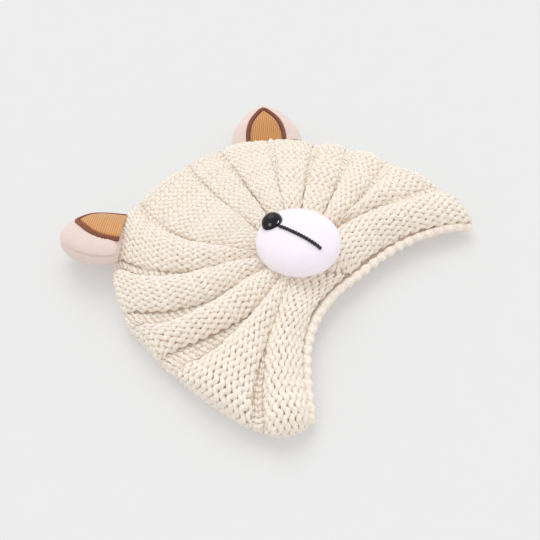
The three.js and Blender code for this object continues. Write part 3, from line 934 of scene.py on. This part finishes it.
class Finish:
    """One material: its shader with fixed values, and the nodes that lead to it."""

    def __init__(self, name, **fixed):
        self.material = bpy.data.materials.new(name)
        self.material.use_nodes = True
        self.nodes = self.material.node_tree.nodes
        self.links = self.material.node_tree.links
        self.shader = self.nodes["Principled BSDF"]
        for label, value in fixed.items():
            self.set(self.shader, label.replace("_", " "), value)

    def set(self, node, label, value):
        socket = node.inputs[label]
        if isinstance(value, Wire):
            self.links.new(value.socket, socket)
        elif isinstance(value, tuple) and socket.type == "RGBA":
            socket.default_value = (*value, 1)
        else:
            socket.default_value = value

    def node(self, kind, settings=None, inputs=None, output=0):
        node = self.nodes.new(kind)
        for label, value in (settings or {}).items():
            if label == "stops":
                ramp = node.color_ramp
                for number, (place, shade) in enumerate(value):
                    stop = ramp.elements[number] if number < 2 else ramp.elements.new(place)
                    stop.position, stop.color = place, (*shade, 1)
            else:
                setattr(node, label, value)
        for label, value in (inputs or {}).items():
            self.set(node, label, value)
        return Wire(self, node.outputs[output])

    def number(self, value):
        return self.node("ShaderNodeMath", {"operation": "ADD"}, {0: value, 1: 0.0})

    def place(self):
        return self.node("ShaderNodeTexCoord", output="Object")

    def map(self, name):
        return self.node("ShaderNodeUVMap", {"uv_map": name})

    def parts(self, vector):
        split = self.node("ShaderNodeSeparateXYZ", {}, {0: vector})
        outputs = split.socket.node.outputs
        return [Wire(self, outputs[k]) for k in range(3)]

    def join(self, *parts):
        return self.node("ShaderNodeCombineXYZ", {}, dict(enumerate(parts)))

    def noise(self, vector, scale, detail=3.0, rough=0.55):
        return self.node("ShaderNodeTexNoise", {}, {"Vector": vector, "Scale": scale,
                                                    "Detail": detail, "Roughness": rough})

    def kept(self, name):
        return self.node("ShaderNodeAttribute", {"attribute_name": name}, output="Fac")

    def blend(self, a, b, factor):
        return self.node("ShaderNodeMix", {"data_type": "RGBA"}, {0: factor, 6: a, 7: b}, output=2)

    def tint(self, a, b, factor):
        return self.node("ShaderNodeMix", {"data_type": "RGBA", "blend_type": "MULTIPLY"},
                         {0: factor, 6: a, 7: b}, output=2)

    def bump(self, height, distance, strength=1.0, under=None):
        inputs = {"Height": height, "Distance": distance, "Strength": strength}
        if under is not None:
            inputs["Normal"] = under
        return self.node("ShaderNodeBump", {}, inputs)

    def finish(self, **varying):
        for label, value in varying.items():
            self.set(self.shader, label.replace("_", " "), value)
        return self.material


def yarn_finish():
    """Soft plied acrylic: the plies twist round the yarn, and a haze of fibre covers them. A faint
    painted glow stands for light passing through the yarn, the deep parts of the loops are painted
    tan as shade, and the grooves between the plies are painted a little darker as shade.
    """
    # A faint constant glow is painted light: it stands for light that passes through the yarn and
    # lifts its shade.
    work = Finish("cream_yarn", Sheen_Weight=0.35, Sheen_Roughness=0.45, Specular_IOR_Level=0.25,
                  Emission_Color=(1.0, 0.80, 0.66), Emission_Strength=0.14)
    work.set(work.shader, "Sheen Tint", (1.0, 0.97, 0.92))
    place = work.place()
    u, v, _ = work.parts(work.map("yarn"))
    depth = work.kept("depth")
    ply = ((u * 1.9 + v * (3 * TAU)).sin() * 0.5 + 0.5) ** 0.6
    fibre = work.noise(work.join(u * 0.35 + v * 2.2, v * 9.0 - u * 1.1, 0.0), 2.6, 2.0)
    fuzz = work.noise(place, 2600.0, 2.0)
    patchy = work.noise(place, 38.0, 2.0)
    # Painted shade: the deeper a part of the yarn lies, the more it is painted tan, as the shade in
    # the holes between the loops.
    shade = ((1.35 - depth) / 1.3).clamp()
    warm = work.blend((0.865, 0.82, 0.742), (0.86, 0.805, 0.732), patchy)
    colour = work.blend(warm, (0.70, 0.48, 0.32), shade ** 1.3 * 0.85)
    # Painted shade: the grooves between the plies are painted a little darker.
    colour = work.tint(colour, work.blend((0.93, 0.90, 0.86), (1, 1, 1), ply), 0.5)
    colour = work.tint(colour, work.blend((0.95, 0.93, 0.90), (1, 1, 1), fibre), 0.5)
    normal = work.bump(ply * 0.7 + fibre * 0.5, 0.0006, 0.8, work.bump(fuzz, 0.0002, 0.6))
    return work.finish(Base_Color=colour, Roughness=0.86 + fibre * 0.1, Normal=normal)


def ground_finish():
    """The inside of the knitting, with its columns of plain stitches, which are painted darker
    between them as shade; where the loops cover it, it is painted a deeper tan as their shade.
    """
    work = Finish("cream_ground", Sheen_Weight=0.3, Specular_IOR_Level=0.2)
    place = work.place()
    u, v, _ = work.parts(work.map("cloth"))
    stitch = (u * (TAU * 52.0)).sin() * 0.5 + 0.5
    row = ((v * (TAU * 46.0)) + abs(u * 52.0 * 2.0 - 1.0) * 3.0).sin() * 0.5 + 0.5
    fuzz = work.noise(place, 2200.0, 2.0)
    patchy = work.noise(place, 45.0, 2.0)
    # Painted shade: the drawn stitches are lighter and the gaps between them darker.
    colour = work.blend((0.82, 0.72, 0.60), (0.93, 0.87, 0.78), stitch * row)
    # Painted shade: the outer layer, under the loops, is painted a deeper tan.
    colour = work.blend(colour, (0.74, 0.60, 0.49), work.kept("shaded_under_loops") * 0.9)
    colour = work.tint(colour, work.blend((0.9, 0.86, 0.8), (1, 1, 1), patchy), 0.7)
    normal = work.bump(stitch * 0.6 + row * 0.6, 0.0012, 0.8, work.bump(fuzz, 0.0002, 0.6))
    return work.finish(Base_Color=colour, Roughness=0.92 + fuzz * 0.06, Normal=normal)


def plush_finish(name, colour, shade, glow, seed):
    """A very short velvet pile that lies a little one way or the other, with a faint painted glow
    of its own colour that evens out its shading.
    """
    work = Finish(name, Sheen_Weight=0.4, Sheen_Roughness=0.4, Specular_IOR_Level=0.2,
                  Emission_Color=colour, Emission_Strength=glow)
    place = work.place()
    pile = work.noise(place, 2400.0, 2.0)
    brushed = work.noise(place, 90.0 + seed, 3.0)
    base = work.blend(colour, shade, ((brushed - 0.45) * 1.6).clamp())
    base = work.tint(base, work.blend((0.93, 0.92, 0.93), (1, 1, 1), pile), 0.7)
    normal = work.bump(pile, 0.00025, 0.7, work.bump(brushed, 0.0008, 0.3))
    return work.finish(Base_Color=base, Roughness=0.88 + pile * 0.1, Normal=normal)


def nose_finish():
    work = Finish("black_gloss", Specular_IOR_Level=0.22)
    place = work.place()
    swirl = work.noise(place, 220.0, 3.0)
    speck = work.noise(place, 1500.0, 2.0)
    base = work.blend((0.006, 0.006, 0.008), (0.018, 0.018, 0.022), swirl)
    return work.finish(Base_Color=base, Roughness=0.08 + swirl * 0.08,
                       Normal=work.bump(speck, 0.00004, 0.25))


def thread_finish():
    work = Finish("black_thread", Sheen_Weight=0.1, Specular_IOR_Level=0.2)
    u, v, _ = work.parts(work.map("yarn"))
    strand = (u * 5.5 + v * (3 * TAU)).sin() * 0.5 + 0.5
    # Painted shade: the grooves between the twisted strands are a little darker.
    base = work.blend((0.005, 0.005, 0.007), (0.030, 0.030, 0.038), strand)
    return work.finish(Base_Color=base, Roughness=0.45 + strand * 0.2,
                       Normal=work.bump(strand, 0.0002, 0.8))


def corduroy_finish():
    """Fine ribbed cloth: the ribs are shaped, and this adds their pile and paints the grooves
    between them darker, as shade.
    """
    work = Finish("tan_corduroy", Sheen_Weight=0.45, Sheen_Roughness=0.4, Specular_IOR_Level=0.2)
    place = work.place()
    u, v, _ = work.parts(work.map("cloth"))
    rib = abs((u * (math.pi / PANEL["rib"])).sin())
    pile = work.noise(place, 2600.0, 2.0)
    weft = (v * (TAU / 0.55)).sin() * 0.5 + 0.5
    # Painted shade: darker in the grooves between the ribs.
    base = work.blend((0.56, 0.235, 0.075), (0.77, 0.395, 0.155), (rib * 1.4 - 0.3).clamp())
    base = work.tint(base, work.blend((0.80, 0.78, 0.76), (1, 1, 1), pile * 0.7 + weft * 0.3), 0.6)
    normal = work.bump(rib + weft * 0.25, 0.0003, 0.5, work.bump(pile, 0.0002, 0.7))
    return work.finish(Base_Color=base, Roughness=0.82 + pile * 0.14, Normal=normal)


def satin_finish():
    """Close satin stitches that cross the trim, painted darker between the threads as shade."""
    work = Finish("brown_satin", Sheen_Weight=0.05, Specular_IOR_Level=0.2)
    u = work.parts(work.map("cloth"))[0]
    uneven = work.noise(work.place(), 900.0, 2.0)
    thread = (u * (TAU / 0.5) + uneven * 2.0).sin() * 0.5 + 0.5
    # Painted shade between the threads, with some tone that differs at random.
    base = work.blend((0.17, 0.045, 0.020), (0.37, 0.125, 0.065), thread * 0.8 + uneven * 0.2)
    return work.finish(Base_Color=base, Roughness=0.4 + uneven * 0.2,
                       Normal=work.bump(thread, 0.00025, 0.9))


def floor_finish():
    work = Finish("studio_floor", Specular_IOR_Level=0.1, Emission_Color=(1.0, 1.0, 1.0),
                  Emission_Strength=0.3)
    grain = work.noise(work.place(), 60.0, 2.0)
    base = work.blend((0.485, 0.485, 0.485), (0.495, 0.495, 0.495), grain)
    return work.finish(Base_Color=base, Roughness=0.95 + grain * 0.03)


# ---- The assembly -------------------------------------------------------------------------------

def stand_for(piece, node):
    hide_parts(node)


tool = cap_tool()
yarn = yarn_finish()
for welt in range(WELTS):
    stand_for(knit_welt(welt, yarn), "knit_cap")
for line in range(1, WELTS):
    stand_for(knit_band(line, yarn), "knit_cap")
stand_for(ground(ground_finish()), "knit_cap")
stand_for(nape_edge(yarn), "knit_cap")
stand_for(brow_edge(yarn), "brow_edging")

# Painted light: the white plush glows faintly at 0.16 and the pink at 0.07, to even out their
# shading.
white = plush_finish("white_plush", (0.84, 0.79, 0.85), (0.80, 0.75, 0.82), 0.16, 0)
pink = plush_finish("pink_plush", (0.78, 0.64, 0.585), (0.73, 0.55, 0.51), 0.07, 30)
corduroy, satin = corduroy_finish(), satin_finish()
stand_for(muzzle(tool, white), "muzzle")
stand_for(nose(nose_finish()), "nose")
stand_for(mouth(thread_finish()), "mouth")
for ear in EARS:
    node = "ear_" + ear["side"]
    stand_for(ear_pad(ear, tool, pink), node)
    stand_for(ear_panel(ear, tool, corduroy), node + "_panel")
    stand_for(ear_trim(ear, tool, satin), node + "_trim")
bpy.data.objects.remove(tool)

# ---- Floor, light and camera --------------------------------------------------------------------

bpy.ops.mesh.primitive_plane_add(size=6)
floor = chosen()
floor.name = "floor"
floor.data.materials.append(floor_finish())

world = bpy.data.worlds.new("studio")
bpy.context.scene.world = world
world.use_nodes = True
world.node_tree.nodes["Background"].inputs["Color"].default_value = (1, 1, 1, 1)
world.node_tree.nodes["Background"].inputs["Strength"].default_value = 0.85
bpy.context.scene.view_settings.view_transform = "Standard"

bpy.ops.object.light_add(type="SUN", location=(0.7, 0.75, 1.1))
sun = chosen()
sun.name = "soft_window"
sun.data.energy = 1.03
sun.data.angle = math.radians(50)
sun.rotation_euler = Vector((0.45, 0.55, 1.0)).to_track_quat("Z", "Y").to_euler()

# Small lamps that only show as glints in what is glossy: where each stands, its size and power.
for number, (place, size, power) in enumerate([((0.49, -0.80, 0.34), 0.22, 8.0),
                                               ((0.20, -0.93, 0.28), 0.15, 2.0),
                                               ((-0.80, -0.23, 0.54), 0.55, 8.5)]):
    bpy.ops.object.light_add(type="AREA", location=place)
    lamp = chosen()
    lamp.name = f"glint_{number + 1}"
    lamp.data.size = size
    lamp.data.energy = power
    lamp.visible_diffuse = False
    lamp.rotation_euler = Vector(place).to_track_quat("Z", "Y").to_euler()

eye = Vector(grow(np.array([-283.6, -189.7, 395.1])))
aim = Vector(grow(np.array([-7.5, 14.6, 0.0])))
bpy.ops.object.camera_add(location=eye)
camera = chosen()
camera.data.lens = 60
camera.data.sensor_width = 36
camera.rotation_euler = (aim - eye).to_track_quat("-Z", "Y").to_euler()
bpy.context.scene.camera = camera
